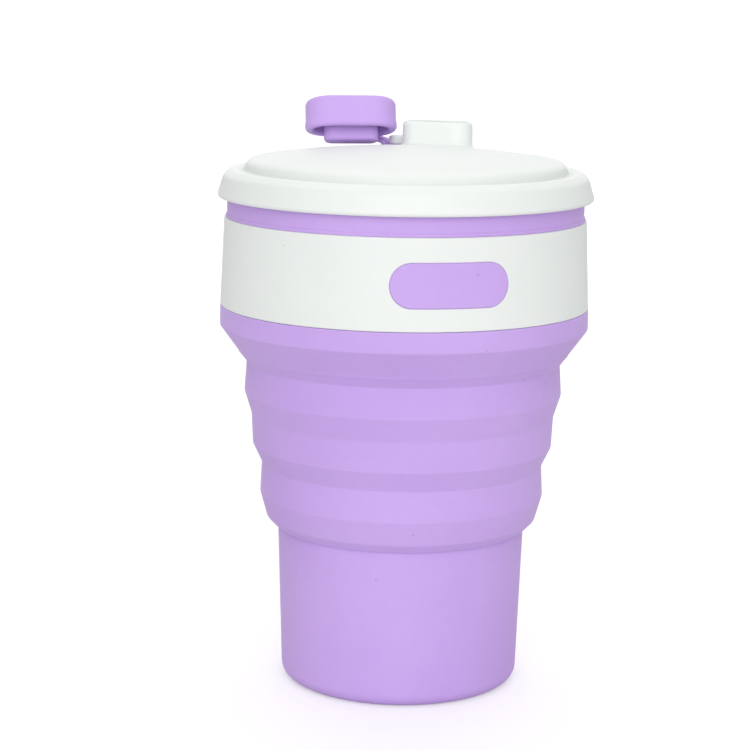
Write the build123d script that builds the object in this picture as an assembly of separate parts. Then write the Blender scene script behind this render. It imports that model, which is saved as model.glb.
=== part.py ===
from build123d import *
import os
from math import cos, radians, sin

os.makedirs("parts", exist_ok=True)

# Frame: millimetres, +Z up, origin at the centre of the foot on the surface the cup stands on.
# The pill-shaped grip pads face -Y and +Y.

# ---- driving dimensions: soft cup body -------------------------------------------------------
foot_radius = 30.3
foot_rounding = 4.4
lower_cup_wall_top_radius = 31.8
lower_cup_wall_top = 40.0
lower_cup_shelf_radius = 34.6
lower_cup_shelf_top = 42.7
cup_wall = 2.0
shelf_wall = 1.6
floor_thickness = 3.0
foot_recess_radius = 23.0
foot_recess_depth = 0.8

# Each ring: name, bottom height, top height, outer radius at the bottom and at the top, bore radius
rings = [
    ("lower_ring", 48.8, 56.6, 36.3, 35.9, 34.95),
    ("middle_ring", 61.6, 69.3, 38.2, 38.5, 36.6),
    ("upper_ring", 75.1, 82.8, 40.4, 39.9, 38.9),
]
fold_names = ["lower_fold", "middle_fold", "upper_fold", "top_fold"]
fold_wall = 1.2
fold_end_gap = 0.1

collar_bottom = 92.2
collar_radius = 46.7
collar_bore = 42.5
collar_bore_widening = 1.0
rim_radius = 45.0
rim_top = 128.5

# ---- driving dimensions: stiff sleeve band and the pads that show through it ------------------
band_bottom = 97.3
band_top = 119.5
band_radius_bottom = 46.6
band_radius_top = 45.6
band_seat_radius = 44.2
band_end_gap = 0.05
pad_width = 29.1
pad_height = 10.9
pad_centre_height = 108.3
pad_proud = 0.1
pad_window_gap = 0.3

# ---- driving dimensions: lid -----------------------------------------------------------------
dome_top = 136.8
dome_sphere_radius = 259.0
dome_edge_radius = 39.6
dome_foot_radius = 40.5
lid_plate = 2.0
ledge_height = 131.0
lip_top_radius = 45.4
lip_top = 130.6
lip_radius = 47.4
lip_bottom = 124.4
lip_bore = 45.4
rim_channel_top = 128.9
plug_ring_radius = 42.2
plug_ring_bore = 39.6
plug_ring_bottom = 120.5
seal_bottom = 123.8
seal_height = 2.4
seal_inner_radius = 40.8
seal_radius = 42.4

# ---- driving dimensions: spout, post and stopper ---------------------------------------------
spout_distance = 25.6
spout_azimuth = 57.8
spout_width = 18.0
spout_depth = 9.0
spout_corner = 4.2
spout_top = 142.0
spout_wall = 1.5

post_distance = 33.84
post_azimuth = 80.45
post_radius = 1.2
post_head_radius = 2.2
post_head_bottom = 135.25
post_head_top = 137.5
post_recess_radius = 4.1
post_recess_floor = 133.65

cap_width = 23.9
cap_depth = 13.9
cap_height = 8.2
cap_corner = 6.7
cap_wall = 2.0
plug_width = 14.2
plug_depth = 5.2
plug_corner = 2.4
plug_below_rim = 2.95
cap_centre = (-7.32, 31.72, 138.75)
cap_turn = -5.9
cap_tilt = -18.0

eye_radius = 2.9
eye_bore = 1.3
eye_bottom = 133.9
strap_thickness = 1.0
strap_width = 5.0
strap_direction = 143.6
strap_reach = 6.2
strap_step = 1.1
strap_rise = 1.3


def turned(outline):
    """Solid of revolution about Z from (radius, height, corner rounding) points."""
    sketch = make_face(Polyline([(r, z) for r, z, rounding in outline], close=True))
    for r, z, rounding in outline:
        if rounding:
            corner = sketch.vertices().sort_by_distance((r, z, 0))[0]
            sketch = fillet(corner, rounding)
    return revolve(Plane.XZ * sketch, Axis.Z)


def dome_height(r):
    """Height of the lid's domed face at a distance r from the axis."""
    drop = dome_sphere_radius - (dome_sphere_radius**2 - r**2) ** 0.5
    return dome_top - drop


def polar(distance, azimuth, height=0.0):
    return (distance * cos(radians(azimuth)), distance * sin(radians(azimuth)), height)


def rounded_block(width, depth, corner, bottom, top):
    """Upright block with a rounded-rectangle plan, from one height to another."""
    plan = Plane.XY.offset(bottom) * RectangleRounded(width, depth, corner)
    return extrude(plan, top - bottom)


def make_lower_cup():
    """Tapered cup with a recessed foot and a flared shelf that the lowest fold hangs on."""
    return turned([
        (0.0, foot_recess_depth, 0),
        (foot_recess_radius, foot_recess_depth, 0),
        (foot_recess_radius + foot_recess_depth, 0.0, 0),
        (foot_radius, 0.0, foot_rounding),
        (lower_cup_wall_top_radius, lower_cup_wall_top, 0.6),
        (lower_cup_shelf_radius, lower_cup_shelf_top, 0),
        (lower_cup_shelf_radius - shelf_wall, lower_cup_shelf_top, 0),
        (lower_cup_wall_top_radius - cup_wall, lower_cup_wall_top, 0),
        (foot_radius - cup_wall, floor_thickness, 2.0),
        (0.0, floor_thickness, 0),
    ])


def make_ring(bottom, top, radius_bottom, radius_top, bore):
    return turned([
        (bore, bottom, 0.3),
        (radius_bottom, bottom, 0.4),
        (radius_top, top, 0.3),
        (bore, top, 0.3),
    ])


def make_fold(bottom, top, radius_bottom, radius_top):
    """Thin cone between two stiff rings, a hair short of the ring below it."""
    return turned([
        (radius_bottom - fold_wall, bottom + fold_end_gap, 0),
        (radius_bottom, bottom + fold_end_gap, 0),
        (radius_top, top, 0),
        (radius_top - fold_wall, top, 0),
    ])


def pill(width, height, inner_y, outer_y):
    """Upright pill outline on the -Y side, extruded between two distances from the axis."""
    plane = Plane(origin=(0, -inner_y, pad_centre_height), x_dir=(1, 0, 0), z_dir=(0, -1, 0))
    return extrude(plane * SlotOverall(width, height), outer_y - inner_y)


def band_shell(seat, proud, edge_rounding):
    """Tapered ring between the band's seat and its outer face."""
    low = band_bottom + band_end_gap
    high = band_top - band_end_gap
    return turned([
        (seat, low, 0),
        (band_radius_bottom + proud, low, edge_rounding),
        (band_radius_top + proud, high, edge_rounding),
        (seat, high, 0),
    ])


def make_collar():
    collar = turned([
        (collar_bore + collar_bore_widening, collar_bottom, 0.5),
        (collar_radius, collar_bottom, 0.8),
        (band_radius_bottom, band_bottom, 0.2),
        (band_seat_radius, band_bottom, 0),
        (band_seat_radius, band_top, 0),
        (rim_radius, band_top, 0.2),
        (rim_radius, rim_top, 1.0),
        (collar_bore, rim_top, 0.8),
        (collar_bore, collar_bottom + 4.0, 0),
    ])
    pads = band_shell(band_seat_radius - 0.2, pad_proud, 0) & pill(pad_width, pad_height, 38, 50)
    return collar + pads + pads.rotate(Axis.Z, 180)


def make_band():
    window = pill(pad_width + 2 * pad_window_gap, pad_height + 2 * pad_window_gap, 38, 50)
    band = band_shell(band_seat_radius + band_end_gap, 0, 0.5)
    return band - window - window.rotate(Axis.Z, 180)


def spout_place():
    x, y, z = polar(spout_distance, spout_azimuth)
    return Location((x, y, z), (0, 0, spout_azimuth - 90))


def make_lid():
    edge_height = dome_height(dome_edge_radius)
    bore_height = dome_height(plug_ring_bore) - lid_plate
    profile = Polyline([
        (dome_edge_radius, edge_height),
        (dome_foot_radius, ledge_height),
        (lip_top_radius - 0.8, ledge_height),
        (lip_top_radius, lip_top),
        (lip_radius, lip_bottom + 0.8),
        (lip_radius, lip_bottom),
        (lip_bore, lip_bottom),
        (lip_bore, rim_channel_top),
        (plug_ring_radius, rim_channel_top),
        (plug_ring_radius, seal_bottom + seal_height),
        (seal_inner_radius, seal_bottom + seal_height),
        (seal_inner_radius, seal_bottom),
        (plug_ring_radius, seal_bottom),
        (plug_ring_radius, plug_ring_bottom),
        (plug_ring_bore, plug_ring_bottom),
        (plug_ring_bore, bore_height),
    ])
    middle = dome_edge_radius / 2
    underside = ThreePointArc(
        (plug_ring_bore, bore_height),
        (middle, dome_height(middle) - lid_plate),
        (0, dome_top - lid_plate),
    )
    axis_edge = Line((0, dome_top - lid_plate), (0, dome_top))
    face = ThreePointArc((0, dome_top), (middle, dome_height(middle)), (dome_edge_radius, edge_height))
    sketch = make_face([profile, underside, axis_edge, face])
    for point, rounding in (
        ((dome_edge_radius, edge_height), 2.6),
        ((dome_foot_radius, ledge_height), 0.5),
        ((lip_top_radius, lip_top), 0.4),
        ((lip_radius, lip_bottom + 0.8), 0.6),
    ):
        corner = sketch.vertices().sort_by_distance((*point, 0))[0]
        sketch = fillet(corner, rounding)
    lid = revolve(Plane.XZ * sketch, Axis.Z)

    spout_floor = dome_height(spout_distance) - 1.2
    spout = rounded_block(spout_width, spout_depth, spout_corner, spout_floor, spout_top)
    spout = fillet(spout.faces().sort_by(Axis.Z)[-1].outer_wire().edges(), 1.0)
    hole = rounded_block(
        spout_width - 2 * spout_wall,
        spout_depth - 2 * spout_wall,
        spout_corner - spout_wall,
        spout_floor - 6,
        spout_top + 1,
    )
    lid = lid + spout_place() * spout - spout_place() * hole

    post_x, post_y, _ = polar(post_distance, post_azimuth)
    recess = Pos(post_x, post_y, post_recess_floor) * extrude(Circle(post_recess_radius), 3)
    shaft_bottom = post_recess_floor - 0.3
    shaft = Pos(post_x, post_y, shaft_bottom) * extrude(
        Circle(post_radius), post_head_bottom - shaft_bottom + 0.2
    )
    head = Pos(post_x, post_y, post_head_bottom) * extrude(
        Circle(post_head_radius), post_head_top - post_head_bottom
    )
    head = fillet(head.edges().sort_by(Axis.Z)[-1], 0.9)
    return lid - recess + shaft + head


def make_seal():
    """Ring with two shallow lips, seated in the groove of the lid's plug ring."""
    low = seal_bottom + 0.1
    high = seal_bottom + seal_height - 0.1
    middle = (low + high) / 2
    return turned([
        (seal_inner_radius, low, 0),
        (seal_radius - 0.5, low, 0),
        (seal_radius, low + 0.5, 0.2),
        (seal_radius - 0.4, middle, 0),
        (seal_radius, high - 0.5, 0.2),
        (seal_radius - 0.5, high, 0),
        (seal_inner_radius, high, 0),
    ])


def cap_place():
    return Location(cap_centre, (0, 0, cap_turn)) * Location((0, 0, 0), (cap_tilt, 0, 0))


def make_stopper_cap():
    """Skirted cap with a plug inside, made upright with the skirt's rim at height 0."""
    shell = rounded_block(cap_width, cap_depth, cap_corner, 0, cap_height)
    shell = fillet(shell.faces().sort_by(Axis.Z)[-1].outer_wire().edges(), 1.5)
    hollow = rounded_block(
        cap_width - 2 * cap_wall,
        cap_depth - 2 * cap_wall,
        cap_corner - cap_wall,
        -1,
        cap_height - cap_wall,
    )
    plug = rounded_block(
        plug_width, plug_depth, plug_corner, -plug_below_rim, cap_height - cap_wall + 0.5
    )
    plug = fillet(plug.faces().sort_by(Axis.Z)[0].outer_wire().edges(), 0.9)
    return cap_place() * (shell - hollow + plug)


def make_stopper_strap():
    """Eye that turns on the post, and a short ramp that rises to the cap's rear rim."""
    post_x, post_y, _ = polar(post_distance, post_azimuth)
    ramp_side = make_face(Polyline([
        (0, 0),
        (post_head_radius, 0),
        (eye_radius, strap_step),
        (strap_reach, strap_rise),
        (strap_reach, strap_rise + strap_thickness),
        (eye_radius - 0.2, strap_step + strap_thickness),
        (post_head_radius + 0.1, strap_thickness),
        (0, strap_thickness),
    ], close=True))
    ramp = extrude(Plane.XZ.offset(-strap_width / 2) * ramp_side, strap_width)
    eye = extrude(Circle(eye_radius), strap_thickness)
    bore = Pos(0, 0, -1) * extrude(Circle(eye_bore), 3)
    place = Location((post_x, post_y, eye_bottom), (0, 0, strap_direction))
    return place * (eye + ramp - bore)


def write(node, shape):
    export_step(shape, "parts/" + node + ".step")


write("lower_cup", make_lower_cup())

below_radius = lower_cup_shelf_radius
below_height = lower_cup_shelf_top
for fold, (name, bottom, top, radius_bottom, radius_top, bore) in zip(fold_names, rings):
    write(name, make_ring(bottom, top, radius_bottom, radius_top, bore))
    write(fold, make_fold(below_height, bottom, below_radius, radius_bottom))
    below_radius = radius_top
    below_height = top
write(fold_names[-1], make_fold(below_height, collar_bottom, below_radius, collar_radius))

write("cup_collar", make_collar())
write("sleeve_band", make_band())
write("lid", make_lid())
write("lid_seal", make_seal())
write("stopper_strap", make_stopper_strap())
write("stopper_cap", make_stopper_cap())
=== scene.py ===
"""Looks of the collapsible travel cup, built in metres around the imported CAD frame.

Lengths inside the helpers are in millimetres and are turned into metres as each mesh is made.
"""

import math

import bmesh
import bpy
import numpy as np
from mathutils import Matrix, Vector
from mathutils.geometry import delaunay_2d_cdt


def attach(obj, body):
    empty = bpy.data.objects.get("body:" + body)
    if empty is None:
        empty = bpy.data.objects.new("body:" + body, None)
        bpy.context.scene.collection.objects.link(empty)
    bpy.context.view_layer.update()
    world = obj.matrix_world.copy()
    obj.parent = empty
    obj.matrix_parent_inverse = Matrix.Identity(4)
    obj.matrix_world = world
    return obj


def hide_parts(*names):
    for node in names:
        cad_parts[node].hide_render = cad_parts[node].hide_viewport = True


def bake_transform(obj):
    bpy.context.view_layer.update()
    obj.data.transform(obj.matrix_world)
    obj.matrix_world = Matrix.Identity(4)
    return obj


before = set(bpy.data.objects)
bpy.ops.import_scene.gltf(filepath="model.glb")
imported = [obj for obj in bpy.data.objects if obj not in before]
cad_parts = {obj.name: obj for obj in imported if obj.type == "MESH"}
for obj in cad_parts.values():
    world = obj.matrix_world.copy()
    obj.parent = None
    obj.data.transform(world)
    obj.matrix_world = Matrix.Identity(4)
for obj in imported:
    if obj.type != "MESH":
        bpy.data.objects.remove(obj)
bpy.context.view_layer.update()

MM = 0.001
SEGMENTS = 288                      # columns round a turned piece
ARC_STEP = math.radians(9)          # most turn between two points of a rounding
SHARP_ANGLE = math.radians(32)      # edges that turn more than this are shaded sharp
WELD = 1e-6                         # metres within which vertices are joined
BEND_SHARE = 0.48                   # most of an edge that one rounding may take
BESIDE_BEND = 0.25                  # distance from a rounding to the row that supports it


# ---------------------------------------------------------------- outlines and meshes

def room_beside(length, reach):
    """Distance to the supporting row on an edge whose rounding takes up reach."""
    return min(BESIDE_BEND, 0.4 * (length / 2 - reach) + 1e-3)


def rounded(corners, closed=True):
    """Smooth outline from (r, z, rounding) corners, with a support point beside each rounding."""
    points = []
    count = len(corners)
    for i, (r, z, radius) in enumerate(corners):
        here = np.array([r, z], float)
        if radius <= 0 or (not closed and i in (0, count - 1)):
            points.append(here)
            continue
        to_before = np.array(corners[i - 1][:2], float) - here
        to_after = np.array(corners[(i + 1) % count][:2], float) - here
        before_length = np.linalg.norm(to_before)
        after_length = np.linalg.norm(to_after)
        to_before /= before_length
        to_after /= after_length
        half = math.acos(np.clip(to_before @ to_after, -1, 1)) / 2
        if half > math.pi / 2 - 1e-3:
            points.append(here)
            continue
        longest = BEND_SHARE * min(before_length, after_length)
        reach = min(radius / math.tan(half), longest)
        arc_radius = reach * math.tan(half)
        bisector = to_before + to_after
        centre = here + bisector / np.linalg.norm(bisector) * arc_radius / math.sin(half)
        first = here + to_before * reach - centre
        last = here + to_after * reach - centre
        turn = math.atan2(first[0] * last[1] - first[1] * last[0], first @ last)
        steps = max(3, math.ceil(abs(turn) / ARC_STEP))
        points.append(centre + first + to_before * room_beside(before_length, reach))
        for k in range(steps + 1):
            a = turn * k / steps
            points.append(centre + np.array([
                first[0] * math.cos(a) - first[1] * math.sin(a),
                first[0] * math.sin(a) + first[1] * math.cos(a),
            ]))
        points.append(centre + last + to_after * room_beside(after_length, reach))
    return points


def straight(start, end, rows):
    """Evenly spaced points from one (r, z) to another, both ends included."""
    start, end = np.array(start, float), np.array(end, float)
    return [start + (end - start) * k / rows for k in range(rows + 1)]


def quarter_turn(count=7):
    """Sines and cosines of a quarter turn."""
    return [(math.sin(math.pi / 2 * k / count), math.cos(math.pi / 2 * k / count))
            for k in range(count + 1)]


class Shell:
    """Vertices in millimetres and faces, gathered piece by piece and welded at the end."""

    def __init__(self):
        self.points = []
        self.faces = []

    def add(self, points):
        """Adds points and returns their indices."""
        first = len(self.points)
        self.points += [tuple(float(v) for v in p) for p in points]
        return list(range(first, first + len(points)))

    def bridge(self, a, b):
        """Quads between two closed rows of the same length."""
        for i in range(len(a)):
            j = (i + 1) % len(a)
            self.faces.append((a[i], a[j], b[j], b[i]))

    def cap(self, row, centre):
        """Triangles from a closed row to one middle point."""
        middle = self.add([centre])[0]
        for i in range(len(row)):
            self.faces.append((row[i], row[(i + 1) % len(row)], middle))

    def rows(self, rows):
        """Bridges a list of point rows one after another and returns their indices."""
        made = [self.add(row) for row in rows]
        for a, b in zip(made, made[1:]):
            self.bridge(a, b)
        return made

    def turn(self, outline, closed=True, centre=(0, 0), segments=SEGMENTS):
        """Turns an (r, z) outline about the vertical through centre."""
        angles = [math.tau * k / segments for k in range(segments)]
        made = []
        for r, z in outline:
            if abs(r) < 1e-6:
                made.append(self.add([(centre[0], centre[1], z)]))
            else:
                made.append(self.add([
                    (centre[0] + r * math.cos(a), centre[1] + r * math.sin(a), z)
                    for a in angles
                ]))
        pairs = list(zip(made, made[1:])) + ([(made[-1], made[0])] if closed else [])
        for a, b in pairs:
            if len(a) == 1 and len(b) == 1:
                continue
            if len(a) == 1 or len(b) == 1:
                row, middle = (b, a[0]) if len(a) == 1 else (a, b[0])
                for i in range(segments):
                    self.faces.append((row[i], row[(i + 1) % segments], middle))
            else:
                self.bridge(a, b)
        return made

    def mesh(self, name):
        """Welded mesh in metres, with its faces turned outward and shaded smooth."""
        mesh = bpy.data.meshes.new(name)
        mesh.from_pydata([(x * MM, y * MM, z * MM) for x, y, z in self.points], [], self.faces)
        work = bmesh.new()
        work.from_mesh(mesh)
        bmesh.ops.remove_doubles(work, verts=work.verts, dist=WELD)
        bmesh.ops.recalc_face_normals(work, faces=work.faces)
        for face in work.faces:
            face.smooth = True
        work.to_mesh(mesh)
        work.free()
        mesh.set_sharp_from_angle(angle=SHARP_ANGLE)
        return mesh


def piece(name, shell, material, body=None, replaces=()):
    """Makes the object, rides it on its body and hides the CAD parts that it replaces."""
    mesh = shell.mesh(name)
    mesh.materials.append(material)
    made = bpy.data.objects.new(name, mesh)
    bpy.context.scene.collection.objects.link(made)
    if body:
        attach(made, body)
    if replaces:
        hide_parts(*replaces)
    return made


# ---------------------------------------------------------------- materials

def new_material(name):
    """A new material with its node tree and its shader."""
    material = bpy.data.materials.new(name)
    material.use_nodes = True
    tree = material.node_tree
    return material, tree, tree.nodes["Principled BSDF"]


def noise(tree, place, scale, detail=2.0, roughness=0.5):
    """Soft random value about 0.5; scale is features for each metre."""
    node = tree.nodes.new("ShaderNodeTexNoise")
    node.inputs["Scale"].default_value = scale
    node.inputs["Detail"].default_value = detail
    node.inputs["Roughness"].default_value = roughness
    tree.links.new(place, node.inputs["Vector"])
    return node.outputs["Fac"]


def remap(tree, value, low, high, out_low, out_high, smooth=False):
    """Value stretched from one range to another, and held at its ends."""
    node = tree.nodes.new("ShaderNodeMapRange")
    if smooth:
        node.interpolation_type = "SMOOTHSTEP"
    node.inputs["From Min"].default_value = low
    node.inputs["From Max"].default_value = high
    node.inputs["To Min"].default_value = out_low
    node.inputs["To Max"].default_value = out_high
    tree.links.new(value, node.inputs["Value"])
    return node.outputs["Result"]


def mixed(tree, factor, a, b):
    """Colour between a and b; either may be a colour or another node's output."""
    node = tree.nodes.new("ShaderNodeMix")
    node.data_type = "RGBA"
    tree.links.new(factor, node.inputs["Factor"])
    colour_a, colour_b, colour_out = node.inputs[6], node.inputs[7], node.outputs[2]
    for socket, value in ((colour_a, a), (colour_b, b)):
        if isinstance(value, tuple):
            socket.default_value = (*value, 1.0)
        else:
            tree.links.new(value, socket)
    return colour_out


def bump(tree, height, strength, distance, below=None):
    """Normal bumped by a height, on top of another bump if there is one."""
    node = tree.nodes.new("ShaderNodeBump")
    node.inputs["Strength"].default_value = strength
    node.inputs["Distance"].default_value = distance
    tree.links.new(height, node.inputs["Height"])
    if below:
        tree.links.new(below, node.inputs["Normal"])
    return node.outputs["Normal"]


def specks(tree, place, scale, size):
    """1 inside small scattered dots, 0 elsewhere."""
    node = tree.nodes.new("ShaderNodeTexVoronoi")
    node.inputs["Scale"].default_value = scale
    node.inputs["Randomness"].default_value = 1.0
    tree.links.new(place, node.inputs["Vector"])
    return remap(tree, node.outputs["Distance"], size * 0.6, size, 1.0, 0.0, True)


def darker(colour, share):
    """The colour at that share of its brightness."""
    return tuple(c * share for c in colour)


def silicone(name, light, deep):
    """Matt moulded silicone: cloudy pigment, fine moulded grain, a few lint specks, soft bloom."""
    material, tree, shader = new_material(name)
    place = tree.nodes.new("ShaderNodeTexCoord").outputs["Object"]
    cloud = remap(tree, noise(tree, place, 26, 3.0), 0.35, 0.65, 0.0, 1.0, True)
    colour = mixed(tree, cloud, light, deep)
    mottle = remap(tree, noise(tree, place, 420, 3.0), 0.3, 0.7, 0.0, 0.22)
    colour = mixed(tree, mottle, colour, darker(deep, 0.93))
    lint = specks(tree, place, 120, 0.034)
    colour = mixed(tree, lint, colour, darker(deep, 0.72))
    tree.links.new(colour, shader.inputs["Base Color"])
    sheen = remap(tree, noise(tree, place, 60, 2.0), 0.3, 0.7, 0.50, 0.60)
    tree.links.new(sheen, shader.inputs["Roughness"])
    coarse = bump(tree, noise(tree, place, 55, 2.0), 0.10, 0.0006)
    grain = bump(tree, noise(tree, place, 2300, 3.0, 0.6), 0.16, 0.00006, coarse)
    tree.links.new(grain, shader.inputs["Normal"])
    shader.inputs["IOR"].default_value = 1.41
    shader.inputs["Specular IOR Level"].default_value = 0.42
    shader.inputs["Sheen Weight"].default_value = 0.12
    shader.inputs["Sheen Roughness"].default_value = 0.45
    shader.inputs["Sheen Tint"].default_value = (0.93, 0.86, 1.0, 1.0)
    shader.inputs["Subsurface Weight"].default_value = 0.10
    shader.inputs["Subsurface Radius"].default_value = (1.0, 0.7, 1.0)
    shader.inputs["Subsurface Scale"].default_value = 0.0012
    return material


def ring_shade(tree, place, radius, width):
    """1 on a soft circle about the object's axis, 0 away from it."""
    flat = tree.nodes.new("ShaderNodeVectorMath")
    flat.operation = "MULTIPLY"
    flat.inputs[1].default_value = (1.0, 1.0, 0.0)
    tree.links.new(place, flat.inputs[0])
    length = tree.nodes.new("ShaderNodeVectorMath")
    length.operation = "LENGTH"
    tree.links.new(flat.outputs["Vector"], length.inputs[0])
    rise = remap(tree, length.outputs["Value"], radius - width, radius, 0.0, 1.0, True)
    fall = remap(tree, length.outputs["Value"], radius, radius + width, 1.0, 0.0, True)
    both = tree.nodes.new("ShaderNodeMath")
    both.operation = "MULTIPLY"
    tree.links.new(rise, both.inputs[0])
    tree.links.new(fall, both.inputs[1])
    return both.outputs["Value"]


DUST = (0.62, 0.61, 0.58)


def moulded_plastic(name, light, deep, groove=None):
    """Fine spark-eroded matt polypropylene with faint flow clouding and handling scuffs.

    A groove is a circle of (radius, width) in metres, where the colour is darkened with painted
    shade.
    """
    material, tree, shader = new_material(name)
    place = tree.nodes.new("ShaderNodeTexCoord").outputs["Object"]
    cloud = remap(tree, noise(tree, place, 21, 3.0), 0.35, 0.65, 0.0, 1.0, True)
    colour = mixed(tree, cloud, light, deep)
    mottle = remap(tree, noise(tree, place, 700, 2.0), 0.35, 0.65, 0.0, 0.30)
    colour = mixed(tree, mottle, colour, darker(light, 0.975))
    dust = specks(tree, place, 120, 0.028)
    colour = mixed(tree, dust, colour, DUST)
    if groove:
        # painted shade: a soft dark ring in the valley between the dome and the ledge, where shade
        # falls
        painted_valley_shade = ring_shade(tree, place, *groove)
        painted_valley_shade = remap(tree, painted_valley_shade, 0.0, 1.0, 0.0, 0.9)
        colour = mixed(tree, painted_valley_shade, colour, darker(deep, 0.88))
    tree.links.new(colour, shader.inputs["Base Color"])
    scuff = remap(tree, noise(tree, place, 95, 5.0, 0.65), 0.35, 0.7, 0.40, 0.52)
    tree.links.new(scuff, shader.inputs["Roughness"])
    flow = bump(tree, noise(tree, place, 38, 2.0), 0.08, 0.0005)
    grain = bump(tree, noise(tree, place, 1900, 4.0, 0.65), 0.14, 0.00005, flow)
    tree.links.new(grain, shader.inputs["Normal"])
    shader.inputs["IOR"].default_value = 1.49
    shader.inputs["Specular IOR Level"].default_value = 0.45
    shader.inputs["Subsurface Weight"].default_value = 0.06
    shader.inputs["Subsurface Radius"].default_value = (1.0, 1.0, 0.9)
    shader.inputs["Subsurface Scale"].default_value = 0.0010
    return material


WHITE = ((0.872, 0.905, 0.880), (0.850, 0.888, 0.862))
LID_VALLEY_SHADE = (0.0411, 0.0015)       # painted shade ring, (radius, width), between the lid's dome and its ledge
lilac = silicone("LilacSilicone", (0.640, 0.432, 0.885), (0.610, 0.402, 0.860))
white_plastic = moulded_plastic("WhitePlastic", *WHITE)
lid_plastic = moulded_plastic("LidPlastic", *WHITE, groove=LID_VALLEY_SHADE)
clear_silicone = silicone("NaturalSilicone", (0.82, 0.83, 0.80), (0.74, 0.75, 0.72))


# ---------------------------------------------------------------- soft cup body

# Corners of the outer wall, (radius, height), from the foot to the collar.
FOOT = (30.4, 0.0)
SHELF_LIP = (32.35, 40.4)
SHELF = (34.6, 42.7)
LOWER_BOTTOM, LOWER_TOP = (36.3, 48.8), (35.9, 56.6)
MIDDLE_BOTTOM, MIDDLE_TOP = (38.25, 61.6), (38.6, 69.3)
UPPER_BOTTOM, UPPER_TOP = (40.4, 75.1), (39.9, 82.8)
COLLAR_CORNER = (46.7, 92.2)

LOWER_BORE, MIDDLE_BORE, UPPER_BORE = 34.95, 36.7, 38.9
TOP_RIDGE = (85.4, 0.14, 0.35)      # crease that shows on the top web
CUP_FLOOR, FOOT_RECESS = 3.0, 0.8
FOLD_WALL = 0.9
JOIN_BELOW, JOIN_ABOVE = 0.8, 0.75  # height of web that stays with the stiff part at each end
FOLD_ROWS = 26


def on_line(a, b, height):
    """Point at that height on the line from a to b."""
    share = (height - a[1]) / (b[1] - a[1])
    return a[0] + (b[0] - a[0]) * share, height


class Fold:
    """The straight thin web between two stiff parts, and where it joins each."""

    def __init__(self, low, high, below=JOIN_BELOW, above=JOIN_ABOVE):
        self.low = on_line(low, high, low[1] + below)
        self.high = on_line(low, high, high[1] - above)

    def inner(self, end):
        """Point on the web's inner face, level with that end of its outer face."""
        return end[0] - FOLD_WALL, end[1]


lower_web = Fold(SHELF, LOWER_BOTTOM)
middle_web = Fold(LOWER_TOP, MIDDLE_BOTTOM, 0.45)
upper_web = Fold(MIDDLE_TOP, UPPER_BOTTOM)
top_web = Fold(UPPER_TOP, COLLAR_CORNER, 0.5)


def make_lower_cup():
    """Recessed foot, tapered wall, overhanging shelf and the inside, up to the first web."""
    shell = Shell()
    foot = [(0, FOOT_RECESS, 0), (12.0, FOOT_RECESS, 0), (22.7, FOOT_RECESS, 0.5),
            (23.6, 0.0, 0.3), (*FOOT, 4.6)]
    crease = [(31.62, 39.3, 0.9), (31.5, 40.75, 0.12)]
    shelf = [(*SHELF_LIP, 0.4), (*SHELF, 2.4), (*lower_web.low, 0)]
    inside_wall = [(*lower_web.inner(lower_web.low), 0), (33.0, 42.4, 1.0), (29.6, 40.3, 1.2),
                   (28.4, CUP_FLOOR, 2.0), (12.0, CUP_FLOOR, 0), (0, CUP_FLOOR, 0)]
    shell.turn(rounded(foot + crease + shelf + inside_wall, closed=False), closed=False)
    return piece("LowerCup", shell, lilac, "lower_cup", replaces=["lower_cup"])


def make_ring(name, body, web_below, bottom, top, web_above, bore, softness):
    """Stiff ring, with the start of the web above it and the end of the web below it.

    Softness is the rounding of the outer face's bottom and top corners.
    """
    bore_inset, bore_rounding = 0.9, 0.8
    shell = Shell()
    shell.turn(rounded([
        (*web_below.high, 0), (*bottom, softness[0]), (*top, softness[1]), (*web_above.low, 0),
        (*web_above.inner(web_above.low), 0), (bore, top[1] - bore_inset, bore_rounding),
        (bore, bottom[1] + bore_inset, bore_rounding), (*web_below.inner(web_below.high), 0),
    ]))
    return piece(name, shell, lilac, body, replaces=[body])


def make_fold(name, node, web, ridge=None):
    """Thin straight web of a fold; on the real cup it turns inside out as the ring above it comes
    down.

    A ridge is a (height, proud, width) crease round the web's outer face.
    """
    outer = straight(web.low, web.high, FOLD_ROWS)
    if ridge:
        height, proud, width = ridge
        for p in outer:
            p[0] += proud * math.exp(-((p[1] - height) / width) ** 2)
    inner = straight(web.inner(web.high), web.inner(web.low), FOLD_ROWS)
    shell = Shell()
    shell.turn(outer + inner)
    made = piece(name, shell, lilac, replaces=[node])
    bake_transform(made)
    return made


BAND_LOW, BAND_HIGH = 97.3, 119.5
BAND_R_LOW, BAND_R_HIGH = 46.6, 45.6
BAND_SEAT = 44.25                   # the band's bore
COLLAR_SEAT = 44.15                 # the collar's face under the band
SEAT_GAP = 0.03                     # the collar's seat is this much longer at each end
RIM_TOP, MOUTH_RADIUS = 128.5, 42.5


def band_radius(height):
    """Radius of the band's outer face."""
    return BAND_R_LOW + (BAND_R_HIGH - BAND_R_LOW) * (height - BAND_LOW) / (BAND_HIGH - BAND_LOW)


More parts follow.
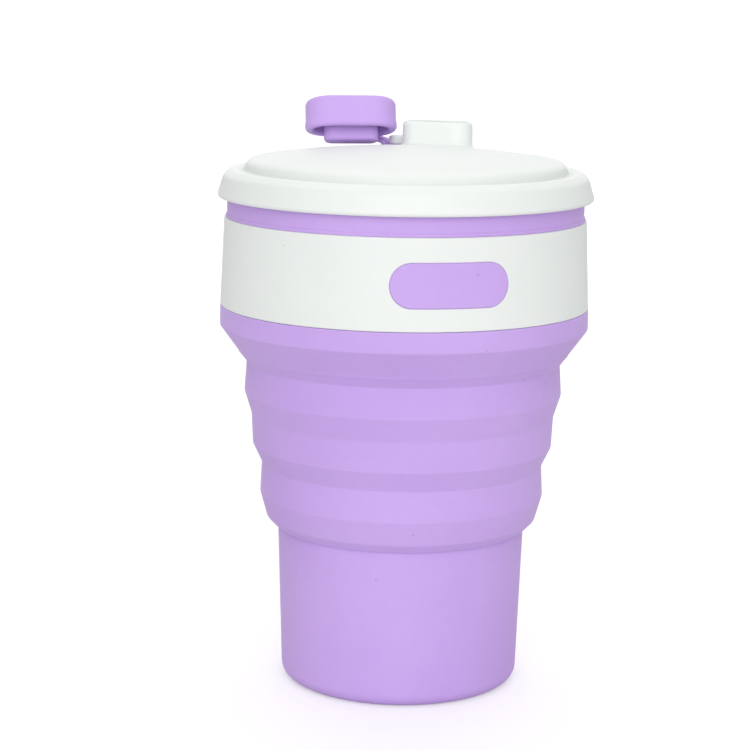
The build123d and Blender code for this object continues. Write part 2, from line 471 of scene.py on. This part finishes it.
def make_collar():
    """Wide part that the band sits in, with the rim and the mouth above."""
    seat_low, seat_high = BAND_LOW - SEAT_GAP, BAND_HIGH + SEAT_GAP
    below_band = [(*top_web.high, 0), (*COLLAR_CORNER, 0.9), (46.62, seat_low, 0.28)]
    seat = [(COLLAR_SEAT, seat_low, 0), (COLLAR_SEAT, seat_high, 0)]
    bead = [(45.2, BAND_HIGH - 0.02, 0.1), (45.2, 120.1, 0.35), (44.9, 120.5, 0.4)]
    rim = [(45.0, RIM_TOP, 1.0), (MOUTH_RADIUS, RIM_TOP, 0.8), (MOUTH_RADIUS, 97.5, 3.0),
           (*top_web.inner(top_web.high), 0)]
    shell = Shell()
    shell.turn(rounded(below_band + seat + bead + rim))
    return piece("CupCollar", shell, lilac, "collar", replaces=["cup_collar"])


# ---------------------------------------------------------------- band and grip pads

PAD_CENTRE = 108.2
PAD_HALF_LENGTH = 14.65
PAD_HALF_HEIGHT = 5.3
WINDOW_GAP = 0.10
WINDOW_EDGE = 0.25                  # rounding of the window's outer edge
PAD_RADIUS_REFERENCE = 46.1         # radius at which distances round the band are true
BAND_END_GAP = 0.05                 # the band's ends stand this far inside BAND_LOW and BAND_HIGH
BAND_EDGE = 0.7                     # height of the rounded edge strips
BAND_ROWS = 34
PATCH_HALF = 19.5                   # half the length of the part of the band that holds a window
PATCH_COLUMNS, PLAIN_COLUMNS = 72, 110


def on_band(along, height, depth, facing):
    """Point on the band's outer face, depth below it; along is the distance round the band."""
    angle = math.radians(facing) + along / PAD_RADIUS_REFERENCE
    r = band_radius(height) - depth
    return r * math.cos(angle), r * math.sin(angle), height


def on_bore(along, height, facing):
    """Point on the band's bore; along is the distance round the band."""
    angle = math.radians(facing) + along / PAD_RADIUS_REFERENCE
    return BAND_SEAT * math.cos(angle), BAND_SEAT * math.sin(angle), height


def make_band():
    """Stiff tapered sleeve with two pill-shaped windows."""
    face_low, face_high = BAND_LOW + BAND_EDGE, BAND_HIGH - BAND_EDGE
    end_low, end_high = BAND_LOW + BAND_END_GAP, BAND_HIGH - BAND_END_GAP
    edge_low = rounded([
        (BAND_SEAT, end_low, 0), (band_radius(BAND_LOW), end_low, 0.35),
        (band_radius(face_low), face_low, 0),
    ], closed=False)
    edge_high = rounded([
        (band_radius(face_high), face_high, 0), (band_radius(BAND_HIGH), end_high, 0.3),
        (BAND_SEAT, end_high, 0),
    ], closed=False)
    face = straight(edge_low[-1], edge_high[0], BAND_ROWS)
    seat = straight((BAND_SEAT, face_high), (BAND_SEAT, face_low), BAND_ROWS)
    outline = face + edge_high[1:] + seat + edge_low[:-1]
    seat_start = len(face) + len(edge_high) - 1
    patch_angle = PATCH_HALF / PAD_RADIUS_REFERENCE
    plain_angle = math.pi - 2 * patch_angle
    angles = []
    for facing in (-math.pi / 2, math.pi / 2):
        angles += [facing - patch_angle + 2 * patch_angle * k / PATCH_COLUMNS
                   for k in range(PATCH_COLUMNS)]
        angles += [facing + patch_angle + plain_angle * k / PLAIN_COLUMNS
                   for k in range(PLAIN_COLUMNS)]
    shell = Shell()
    columns = [shell.add([(r * math.cos(a), r * math.sin(a), z) for r, z in outline])
               for a in angles]
    half_turn = PATCH_COLUMNS + PLAIN_COLUMNS
    for c in range(len(columns)):
        in_patch = c % half_turn < PATCH_COLUMNS
        for k in range(len(outline)):
            on_face = k < BAND_ROWS
            on_seat = seat_start <= k < seat_start + BAND_ROWS
            if in_patch and (on_face or on_seat):
                continue
            n = (c + 1) % len(columns)
            m = (k + 1) % len(outline)
            shell.faces.append((columns[c][k], columns[n][k], columns[n][m], columns[c][m]))

    picks = [(c, 0) for c in range(PATCH_COLUMNS)]
    picks += [(PATCH_COLUMNS, k) for k in range(BAND_ROWS)]
    picks += [(c, BAND_ROWS) for c in range(PATCH_COLUMNS, 0, -1)]
    picks += [(0, k) for k in range(BAND_ROWS, 0, -1)]
    for side, facing in enumerate((-90, 90)):
        patch = [(columns[(side * half_turn + c) % len(columns)], k) for c, k in picks]
        outer = [column[k] for column, k in patch]
        inner = [column[seat_start + BAND_ROWS - k] for column, k in patch]
        around = [window_way(-PATCH_HALF + 2 * PATCH_HALF * c / PATCH_COLUMNS, face[k][1])
                  for c, k in picks]
        add_window(shell, facing, outer, inner, around)
    return piece("SleeveBand", shell, white_plastic, "collar", ["sleeve_band"])


def window_way(along, height):
    """Nearest point of the window's middle line, the way out from it, and how far out."""
    window_end = PAD_HALF_LENGTH - PAD_HALF_HEIGHT
    near = min(max(along, -window_end), window_end)
    away = np.array([along - near, height - PAD_CENTRE])
    reach = np.linalg.norm(away)
    return near, away / reach, reach


def add_window(shell, facing, outer, inner, around):
    """Joins a patch's outer border to its inner one, through a window with a rounded edge.

    Around has one window_way for each point of the borders.
    """
    window_radius = PAD_HALF_HEIGHT + WINDOW_GAP
    beside = WINDOW_EDGE + 0.3

    def at(near, way, radius):
        """Distance along and height of a point that far out from the window's middle line."""
        return near + way[0] * radius, PAD_CENTRE + way[1] * radius

    rows = []
    for share in (0.25, 0.5, 0.75):
        rows.append([
            on_band(*at(near, way, reach + (window_radius + beside - reach) * share), 0, facing)
            for near, way, reach in around])
    steps = [(beside, 0.0)]
    steps += [(WINDOW_EDGE * (1 - s), WINDOW_EDGE * (1 - c)) for s, c in quarter_turn(6)]
    steps += [(0.0, WINDOW_EDGE + 0.2)]
    for offset, depth in steps:
        rows.append([on_band(*at(near, way, window_radius + offset), depth, facing)
                     for near, way, reach in around])
    for share in (0.0, 0.4, 0.75):
        rows.append([
            on_bore(*at(near, way, window_radius + (reach - window_radius) * share), facing)
            for near, way, reach in around])
    made = shell.rows(rows)
    shell.bridge(outer, made[0])
    shell.bridge(made[-1], inner)


def make_pad(name, facing):
    """Grip pad of the collar, showing through the band's window with a softly rounded edge."""
    end = PAD_HALF_LENGTH - PAD_HALF_HEIGHT
    count = 28
    outline = []
    for side in (-1, 1):
        outline += [(side * (end - 2 * end * k / count), (0.0, side)) for k in range(count)]
        turns = [side * math.pi / 2 + math.pi * k / count for k in range(count)]
        outline += [(-side * end, (math.cos(a), math.sin(a))) for a in turns]

    def ring(radius, depth):
        """Row round the pad, that far out from its middle line and that deep."""
        return [on_band(near + way[0] * radius, PAD_CENTRE + way[1] * radius, depth, facing)
                for near, way in outline]

    proud, edge, filled, back = 0.06, 0.34, 0.09, 2.3
    radius = PAD_HALF_HEIGHT
    steps = [(0.0, back), (radius * 0.6, back), (radius + filled, back),
             (radius + filled, edge - proud + 0.02)]
    steps += [(radius - edge * (1 - c), edge * (1 - s) - proud) for s, c in quarter_turn(7)]
    steps += [(radius - edge - 0.25, -proud)]
    steps += [((radius - edge) * s, -proud) for s in (0.8, 0.6, 0.4, 0.2, 0.0)]
    shell = Shell()
    shell.rows([ring(r, d) for r, d in steps])
    return piece(name, shell, lilac, "collar")


# ---------------------------------------------------------------- lid

SPOUT_AT, SPOUT_OUT = math.radians(57.8), 25.6
SPOUT_CENTRE = (SPOUT_OUT * math.cos(SPOUT_AT), SPOUT_OUT * math.sin(SPOUT_AT))
SPOUT_HALF = (9.35, 4.6)
SPOUT_CORNER = 4.35
SPOUT_TOP = 142.0
SPOUT_WALL = 1.5
POST_AT, POST_OUT = math.radians(80.45), 33.84
POST_CENTRE = (POST_OUT * math.cos(POST_AT), POST_OUT * math.sin(POST_AT))
POST_RECESS = 4.1
RECESS_FLOOR = 133.65
POST_RADIUS = 1.2
HEAD_RADIUS, HEAD_BOTTOM, HEAD_TOP = 2.2, 135.25, 137.5

DOME_TOP, DOME_BEND = 136.81, 0.00193
EVEN_RADIUS = 33.0                  # the dome's shoulder starts here
TOP_RADIUS = 38.9                   # the spout, the recess and the dome are filled in to here
CEILING_RADIUS = 36.0
PLATE = 2.0
LIP_BOTTOM, LIP_BORE, CHANNEL_TOP = 124.35, 45.4, 128.9
PLUG_RING, PLUG_RING_BORE, PLUG_RING_BOTTOM = 42.2, 39.6, 120.5
GROOVE_BED, GROOVE_LOW, GROOVE_HIGH = 40.8, 123.8, 126.2


def dome(r):
    """Height of the lid's domed face."""
    return DOME_TOP - DOME_BEND * r * r


def ceiling(r):
    """Height of the lid's underside, inside the plug ring."""
    return dome(r) - PLATE


def lid_outline():
    """From the dome's shoulder over the lip, the rim channel and the plug ring, to the ceiling."""
    shoulder = [(EVEN_RADIUS, dome(EVEN_RADIUS), 0), (39.75, dome(39.75), 2.6),
                (40.85, 130.9, 0.55)]
    ledge = [(44.0, 131.55, 1.6), (45.85, 129.9, 2.0)]
    lip = [(47.55, LIP_BOTTOM, 1.5), (LIP_BORE, LIP_BOTTOM, 0.4)]
    channel = [(LIP_BORE, CHANNEL_TOP, 0.5), (PLUG_RING, CHANNEL_TOP, 0.4)]
    groove = [(PLUG_RING, GROOVE_HIGH, 0), (GROOVE_BED, GROOVE_HIGH, 0),
              (GROOVE_BED, GROOVE_LOW, 0), (PLUG_RING, GROOVE_LOW, 0)]
    ring = [(PLUG_RING, PLUG_RING_BOTTOM, 0.6), (PLUG_RING_BORE, PLUG_RING_BOTTOM, 0.6),
            (PLUG_RING_BORE, 131.0, 1.0), (CEILING_RADIUS, ceiling(CEILING_RADIUS), 0)]
    return rounded(shoulder + ledge + lip + channel + groove + ring, closed=False)


def rounded_rectangle(half, corner, offset, steps=14, sides=(16, 3)):
    """Points round a rounded rectangle, pushed outward by offset, always in the same order."""
    core = (half[0] - corner, half[1] - corner)
    radius = corner + offset
    signs = ((1, 1), (-1, 1), (-1, -1), (1, -1))
    points = []
    for quarter in range(4):
        sx, sy = signs[quarter]
        for k in range(steps):
            a = math.pi / 2 * (quarter + k / steps)
            points.append((sx * core[0] + radius * math.cos(a),
                           sy * core[1] + radius * math.sin(a)))
        a = math.pi / 2 * (quarter + 1)
        nx, ny = signs[(quarter + 1) % 4]
        start = (sx * core[0] + radius * math.cos(a), sy * core[1] + radius * math.sin(a))
        end = (nx * core[0] + radius * math.cos(a), ny * core[1] + radius * math.sin(a))
        count = sides[quarter % 2]
        for k in range(count):
            points.append((start[0] + (end[0] - start[0]) * k / count,
                           start[1] + (end[1] - start[1]) * k / count))
    return points


def spout_loop(offset):
    """The spout's outline in the lid's plan, pushed outward by offset."""
    turn = SPOUT_AT - math.pi / 2
    cos_t, sin_t = math.cos(turn), math.sin(turn)
    return [(SPOUT_CENTRE[0] + x * cos_t - y * sin_t, SPOUT_CENTRE[1] + x * sin_t + y * cos_t)
            for x, y in rounded_rectangle(SPOUT_HALF, SPOUT_CORNER, offset)]


def post_loop(radius):
    """Circle round the post in the lid's plan."""
    turns = [math.tau * k / 64 for k in range(64)]
    return [(POST_CENTRE[0] + radius * math.cos(a), POST_CENTRE[1] + radius * math.sin(a))
            for a in turns]


def inside(point, loop):
    """True if the point lies inside the closed plan loop."""
    x, y = point[0], point[1]
    found = False
    for (x1, y1), (x2, y2) in zip(loop, loop[1:] + loop[:1]):
        if (y1 > y) != (y2 > y) and x < (x2 - x1) * (y - y1) / (y2 - y1) + x1:
            found = not found
    return found


def fill_plan(shell, radii, height, holes, margins):
    """Fills the lid's plan inside the last radius with triangles that leave the holes open.

    No loose point is placed inside the margins, which keeps thin triangles away from the holes.
    """
    spacing = 1.3
    points, edges = [], []

    def add_loop(loop):
        """Adds a closed loop of points with the edges between them."""
        first = len(points)
        points.extend(Vector(p[:2]) for p in loop)
        edges.extend((first + i, first + (i + 1) % len(loop)) for i in range(len(loop)))

    rim = radii[-1]
    add_loop([(rim * math.cos(math.tau * k / SEGMENTS), rim * math.sin(math.tau * k / SEGMENTS))
              for k in range(SEGMENTS)])
    for hole in holes:
        add_loop(hole)
    for number, r in enumerate(radii[:-1]):
        around = 1 if r == 0 else min(SEGMENTS, max(8, int(math.tau * r / spacing)))
        for k in range(around):
            a = math.tau * (k + 0.5 * (number % 2)) / around
            p = (r * math.cos(a), r * math.sin(a))
            if not any(inside(p, margin) for margin in margins):
                points.append(Vector(p))
    verts, _, faces, _, _, _ = delaunay_2d_cdt(points, edges, [], 0, 1e-5)
    made = shell.add([(v[0], v[1], height(math.hypot(v[0], v[1]))) for v in verts])
    for face in faces:
        middle = sum((verts[i] for i in face), Vector((0, 0))) / len(face)
        if middle.length < rim and not any(inside(middle, hole) for hole in holes):
            shell.faces.append(tuple(made[i] for i in face))


def make_lid():
    """Dome with its lip and plug ring, an open spout, and the post in its recess."""
    shell = Shell()
    outline = lid_outline()
    crest = next(i for i, p in enumerate(outline) if p[0] > TOP_RADIUS)
    shoulder_r = [p[0] for p in outline[:crest + 1]]
    shoulder_z = [p[1] for p in outline[:crest + 1]]

    def top(r):
        """Height of the lid's upper face, with the shoulder's rounding."""
        return dome(r) if r < EVEN_RADIUS else float(np.interp(r, shoulder_r, shoulder_z))

    shell.turn([(TOP_RADIUS, top(TOP_RADIUS))] + outline[crest:], closed=False)

    fillet, recess_edge = 0.9, 0.2
    top_rings, ceiling_rings = 25, 24
    radii = [EVEN_RADIUS * k / top_rings for k in range(top_rings + 1)]
    radii += [r for r in shoulder_r[1:-1] if r > EVEN_RADIUS + 0.5]
    radii = [r for r in radii if r < TOP_RADIUS - 0.15] + [TOP_RADIUS]
    fill_plan(shell, radii, top,
              [spout_loop(fillet), post_loop(POST_RECESS + recess_edge)],
              [spout_loop(fillet + 0.35), post_loop(POST_RECESS + recess_edge + 0.3)])
    radii = [CEILING_RADIUS * k / ceiling_rings for k in range(ceiling_rings + 1)]
    fill_plan(shell, radii, ceiling, [spout_loop(-SPOUT_WALL)], [spout_loop(-SPOUT_WALL + 0.6)])

    def on_face(loop, face, lift):
        """Points of a plan loop, lifted off one of the lid's faces."""
        return [(x, y, face(math.hypot(x, y)) + lift) for x, y in loop]

    def level(loop, z):
        """Points of a plan loop at one height."""
        return [(x, y, z) for x, y in loop]

    edge, lip, draft = 1.2, 0.3, 0.08
    rows = [on_face(spout_loop(fillet * (1 - s)), dome, fillet * (1 - c))
            for s, c in quarter_turn()]
    rows += [on_face(spout_loop(-0.01), dome, fillet + 0.25),
             level(spout_loop(-draft), SPOUT_TOP - edge - 0.25)]
    rows += [level(spout_loop(-draft - edge * (1 - c)), SPOUT_TOP - edge * (1 - s))
             for s, c in quarter_turn()]
    rows += [level(spout_loop(-SPOUT_WALL + lip * (1 - s)), SPOUT_TOP - lip * (1 - c))
             for s, c in quarter_turn(5)]
    rows += [level(spout_loop(-SPOUT_WALL), SPOUT_TOP - 1.0),
             on_face(spout_loop(-SPOUT_WALL), ceiling, 0.3),
             on_face(spout_loop(-SPOUT_WALL), ceiling, 0)]
    shell.rows(rows)

    rows = [on_face(post_loop(POST_RECESS + recess_edge * (1 - s)), top, -recess_edge * (1 - c))
            for s, c in quarter_turn(5)]
    foot = 0.25
    for r, z in rounded([
        (POST_RECESS, RECESS_FLOOR + 0.2, 0), (POST_RECESS, RECESS_FLOOR, 0.09),
        (POST_RADIUS, RECESS_FLOOR, foot), (POST_RADIUS, HEAD_BOTTOM, 0.15),
        (HEAD_RADIUS, HEAD_BOTTOM, 0.5), (HEAD_RADIUS, HEAD_TOP, 1.05), (0.3, HEAD_TOP + 0.08, 0),
    ], closed=False)[1:]:
        rows.append(level(post_loop(r), z))
    made = shell.rows(rows)
    shell.cap(made[-1], (*POST_CENTRE, HEAD_TOP + 0.09))
    return piece("Lid", shell, lid_plastic, "lid", ["lid"])


def make_seal():
    """Soft ring with two lips, seated in the groove of the plug ring."""
    shell = Shell()
    bed = GROOVE_BED + 0.02
    low, middle, high = GROOVE_LOW + 0.1, (GROOVE_LOW + GROOVE_HIGH) / 2, GROOVE_HIGH - 0.1
    lip_radius, waist_radius, shoulder_radius = 42.4, 42.0, 41.9
    shell.turn(rounded([
        (bed, low, 0), (shoulder_radius, low, 0.15), (lip_radius, low + 0.5, 0.25),
        (waist_radius, middle, 0.2), (lip_radius, high - 0.5, 0.25),
        (shoulder_radius, high, 0.15), (bed, high, 0),
    ]))
    return piece("LidSeal", shell, clear_silicone, "lid", ["lid_seal"])


# ---------------------------------------------------------------- stopper and strap

STRAP_AT = math.radians(143.6)
CAP_HALF, CAP_CORNER, CAP_HEIGHT, CAP_WALL = (11.95, 6.95), 6.7, 8.2, 2.0
PLUG_HALF, PLUG_CORNER, PLUG_BELOW = (7.1, 2.6), 2.4, 2.95
# The cap's own frame: x along the cap, y toward its rear rim, z up from the skirt's rim.
CAP_PLACE = (Matrix.Translation((-7.32, 31.72, 138.75))
             @ Matrix.Rotation(math.radians(-5.9), 4, "Z")
             @ Matrix.Rotation(math.radians(-18.0), 4, "X"))


def make_stopper():
    """Soft skirted cap, open below, with the plug that pushes into the spout."""
    def skirt(offset, z):
        """Row round the cap's wall, pushed outward by offset."""
        return [(x, y, z) for x, y in rounded_rectangle(CAP_HALF, CAP_CORNER, offset)]

    def plug(offset, z):
        """Row round the plug, pushed outward by offset."""
        return [(x, y, z) for x, y in rounded_rectangle(PLUG_HALF, PLUG_CORNER, offset)]

    edge, rim, inner, root, tip = 1.55, 1.0, 0.8, 0.6, 0.95     # roundings
    bead, swell = 0.16, 0.12                                    # of the skirt's rim and the plug
    top, ceiling_z, bottom = CAP_HEIGHT, CAP_HEIGHT - CAP_WALL, -PLUG_BELOW
    rows = [skirt(-6.6, top + 0.12), skirt(-5.0, top + 0.11), skirt(-3.4, top + 0.07),
            skirt(-edge - 0.5, top + 0.01)]
    rows += [skirt(-edge * (1 - s), top - edge * (1 - c)) for s, c in quarter_turn(8)]
    rows += [skirt(0.0, top - edge - 0.4), skirt(0.0, 4.2), skirt(0.0, 2.9), skirt(0.03, 2.5),
             skirt(bead * 0.8, 2.0), skirt(bead, 1.6), skirt(bead, rim + 0.1)]
    rows += [skirt(bead - rim * (1 - c), rim * (1 - s)) for s, c in quarter_turn(7)]
    rows += [skirt(-CAP_WALL + inner * (1 - s), inner * (1 - c)) for s, c in quarter_turn(6)]
    rows += [skirt(-CAP_WALL, inner + 0.3), skirt(-CAP_WALL, ceiling_z - root - 0.2)]
    rows += [skirt(-CAP_WALL - root * (1 - c), ceiling_z - root * (1 - s))
             for s, c in quarter_turn(5)]
    rows += [plug(root * (1 - s), ceiling_z - root * (1 - c)) for s, c in quarter_turn(5)]
    rows += [plug(0, ceiling_z - root - 0.3), plug(0.0, -0.4), plug(swell, -1.3),
             plug(swell, bottom + tip + 0.2)]
    rows += [plug(swell - tip * (1 - c), bottom + tip * (1 - s)) for s, c in quarter_turn()]
    rows += [plug(-tip - 0.2, bottom), plug(-1.7, bottom), plug(-2.3, bottom)]
    shell = Shell()
    made = shell.rows([[tuple(CAP_PLACE @ Vector(p)) for p in row] for row in rows])
    shell.cap(made[0], tuple(CAP_PLACE @ Vector((0, 0, top + 0.13))))
    shell.cap(made[-1], tuple(CAP_PLACE @ Vector((0, 0, bottom))))
    return piece("StopperCap", shell, lilac, "stopper", replaces=["stopper_cap"])


def make_strap():
    """Eye round the post and the short soft strap that rises into the cap's rear rim."""
    bore, rim, bottom, top = 1.3, 2.95, 133.9, 134.9
    shell = Shell()
    eye = rounded([(bore, bottom, 0.25), (rim, bottom, 0.3), (rim, top, 0.3), (bore, top, 0.25)])
    shell.turn(eye, centre=POST_CENTRE, segments=72)
    # middle line, (distance from the post, height)
    line = [(1.95, 134.42), (2.45, 134.5), (2.85, 134.85), (3.1, 135.3), (3.4, 135.75),
            (3.9, 136.05), (4.6, 136.2), (5.3, 136.35), (5.9, 136.65), (6.25, 137.05),
            (6.45, 137.5)]
    half_width, half_thick, flare, corner = 2.45, 0.5, 0.15, 0.42
    out = np.array([math.cos(STRAP_AT), math.sin(STRAP_AT), 0.0])
    across = np.array([-out[1], out[0], 0.0])
    base = np.array([*POST_CENTRE, 0.0])
    rows = []
    for i, (reach, z) in enumerate(line):
        before, after = line[max(i - 1, 0)], line[min(i + 1, len(line) - 1)]
        way = np.array([after[0] - before[0], after[1] - before[1]])
        way /= np.linalg.norm(way)
        lift = -way[1] * out + way[0] * np.array([0, 0, 1.0])
        share = i / (len(line) - 1)
        half = (half_width + flare * share, half_thick + flare * share)
        here = base + out * reach + np.array([0, 0, z])
        rows.append([here + across * u + lift * v
                     for u, v in rounded_rectangle(half, corner, 0, 5, (8, 2))])
    made = shell.rows(rows)
    shell.cap(made[0], np.mean(rows[0], axis=0))
    shell.cap(made[-1], np.mean(rows[-1], axis=0))
    strap = piece("StopperStrap", shell, lilac, replaces=["stopper_strap"])
    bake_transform(strap)
    return strap


make_lower_cup()
make_fold("LowerFold", "lower_fold", lower_web)
make_ring("LowerRing", "lower_ring", lower_web, LOWER_BOTTOM, LOWER_TOP, middle_web,
          LOWER_BORE, (2.6, 0.6))
make_fold("MiddleFold", "middle_fold", middle_web)
make_ring("MiddleRing", "middle_ring", middle_web, MIDDLE_BOTTOM, MIDDLE_TOP, upper_web,
          MIDDLE_BORE, (1.6, 2.4))
make_fold("UpperFold", "upper_fold", upper_web)
make_ring("UpperRing", "upper_ring", upper_web, UPPER_BOTTOM, UPPER_TOP, top_web,
          UPPER_BORE, (1.6, 0.6))
make_fold("TopFold", "top_fold", top_web, ridge=TOP_RIDGE)
make_collar()
make_band()
make_pad("GripPadFront", -90)
make_pad("GripPadBack", 90)
make_lid()
make_seal()
make_stopper()
make_strap()


# ---------------------------------------------------------------- floor, light and camera

SURROUND, TOP_LIGHT, FRONT_LIGHT, BACK_LIGHT = 0.46, 0.20, 0.53, 0.26
SEEN_SURROUND = 0.98                # how bright the surround looks to the camera
FLOOR_TONE, FLOOR_GLOW = 0.72, 0.40
FLOOR_HALF, FLOOR_BELOW = 40.0, 0.00003

CAMERA_AT = Vector((-130.5, -527.3, 178.58)) * MM
CAMERA_LENS = 103.6
CAMERA_TURN = math.radians(13.9) - 0.0131
CAMERA_DOWN = 0.1819
CAMERA_ROLL = 0.0141


def make_floor():
    """Wide white floor a hair below the foot, as white as the surround for the camera only."""
    mesh = bpy.data.meshes.new("Floor")
    corners = [(-1, -1), (1, -1), (1, 1), (-1, 1)]
    mesh.from_pydata([(x * FLOOR_HALF, y * FLOOR_HALF, -FLOOR_BELOW) for x, y in corners],
                     [], [(0, 1, 2, 3)])
    floor = bpy.data.objects.new("Floor", mesh)
    bpy.context.scene.collection.objects.link(floor)
    material, tree, shader = new_material("StudioFloor")
    shader.inputs["Base Color"].default_value = (FLOOR_TONE, FLOOR_TONE, FLOOR_TONE, 1.0)
    shader.inputs["Roughness"].default_value = 0.9
    shader.inputs["Specular IOR Level"].default_value = 0.1
    shader.inputs["Emission Color"].default_value = (1.0, 1.0, 1.0, 1.0)
    seen = tree.nodes.new("ShaderNodeLightPath").outputs["Is Camera Ray"]
    tree.links.new(remap(tree, seen, 0.0, 1.0, 0.0, FLOOR_GLOW),
                   shader.inputs["Emission Strength"])
    mesh.materials.append(material)


def make_sun(name, strength, angle, toward):
    """Broad soft sun that shines along the given direction."""
    data = bpy.data.lights.new(name, "SUN")
    data.energy = strength * math.pi
    data.angle = math.radians(angle)
    lamp = bpy.data.objects.new(name, data)
    bpy.context.scene.collection.objects.link(lamp)
    lamp.rotation_mode = "QUATERNION"
    lamp.rotation_quaternion = Vector(toward).to_track_quat("-Z", "Y")


def make_camera():
    """Long lens from a little above the lid, looking slightly down at the cup."""
    forward = Vector((math.sin(CAMERA_TURN) * math.cos(CAMERA_DOWN),
                      math.cos(CAMERA_TURN) * math.cos(CAMERA_DOWN), -math.sin(CAMERA_DOWN)))
    right = forward.cross(Vector((0, 0, 1))).normalized()
    up = right.cross(forward)
    rolled_right = right * math.cos(CAMERA_ROLL) + up * math.sin(CAMERA_ROLL)
    rolled_up = up * math.cos(CAMERA_ROLL) - right * math.sin(CAMERA_ROLL)
    data = bpy.data.cameras.new("Camera")
    data.lens = CAMERA_LENS
    data.sensor_width = 36.0
    data.clip_start, data.clip_end = 0.01, 200.0
    camera = bpy.data.objects.new("Camera", data)
    bpy.context.scene.collection.objects.link(camera)
    axes = Matrix((rolled_right, rolled_up, -forward)).transposed().to_4x4()
    camera.matrix_world = Matrix.Translation(CAMERA_AT) @ axes
    bpy.context.scene.camera = camera


def make_light():
    """Even studio light: a soft surround, a broad top light, and broad lights ahead and behind."""
    world = bpy.data.worlds.new("Studio")
    world.use_nodes = True
    tree = world.node_tree
    background = tree.nodes["Background"]
    background.inputs["Color"].default_value = (1.0, 1.0, 1.0, 1.0)
    seen = tree.nodes.new("ShaderNodeLightPath").outputs["Is Camera Ray"]
    tree.links.new(remap(tree, seen, 0.0, 1.0, SURROUND, SEEN_SURROUND),
                   background.inputs["Strength"])
    bpy.context.scene.world = world
    ahead = Vector((math.sin(CAMERA_TURN), math.cos(CAMERA_TURN), 0))
    down = Vector((0, 0, -1))
    make_sun("TopLight", TOP_LIGHT, 80, down)
    make_sun("FrontLight", FRONT_LIGHT, 60, ahead * 0.96 + down * 0.28)
    make_sun("BackLight", BACK_LIGHT, 75, -ahead * 0.80 + down * 0.60)


make_floor()
make_light()
make_camera()
bpy.context.scene.view_settings.view_transform = "Standard"

bpy.context.view_layer.update()
